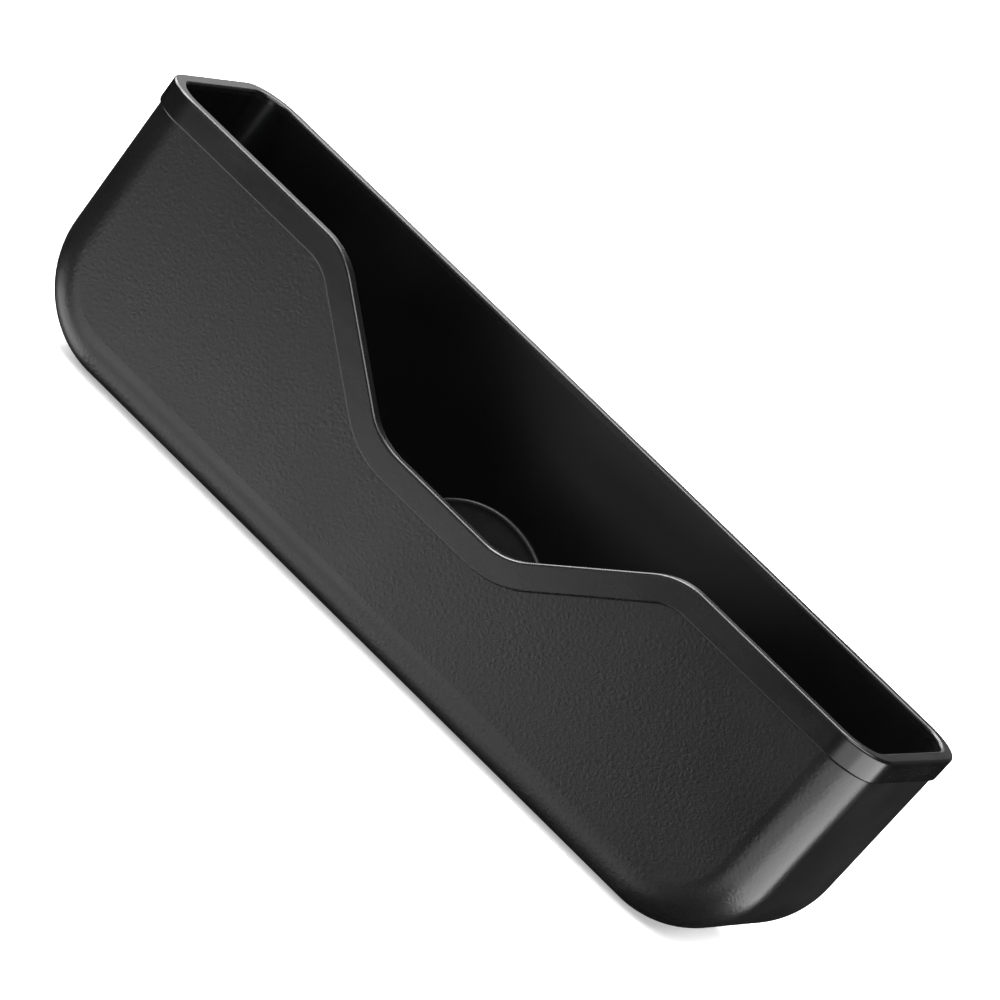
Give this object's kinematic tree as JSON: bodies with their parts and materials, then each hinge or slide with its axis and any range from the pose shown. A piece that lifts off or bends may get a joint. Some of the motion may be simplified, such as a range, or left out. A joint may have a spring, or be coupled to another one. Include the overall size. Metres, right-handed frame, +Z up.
{
  "type": "glasses organizer",
  "caption": "Open-top case that holds a folded pair of glasses upright, with a notched front wall, a smooth band round its mouth and tape pads on its back.",
  "frame": {"origin": "centre of the whole object's footprint, at the level of the case's flat bottom", "axes": "+X runs along the case, -Y is the notched front, +Z is up towards the open mouth"},
  "size_m": [0.175, 0.0434, 0.0497],
  "materials": {
    "grained_plastic": "black ABS with a fine leather grain outside and a smoother inside",
    "smooth_plastic": "smooth satin black ABS",
    "soft_pad": "matt dark grey soft foam rubber",
    "tape_foam": "dark grey closed-cell tape foam",
    "liner_film": "glossy red release film"
  },
  "bodies": {
    "root": {"case_body": "grained_plastic", "rim_band": "smooth_plastic", "back_wall_pad": "soft_pad", "adhesive_pad_left": "tape_foam", "adhesive_pad_right": "tape_foam", "release_liner_left": "liner_film", "release_liner_right": "liner_film"}
  },
  "joints": []
}
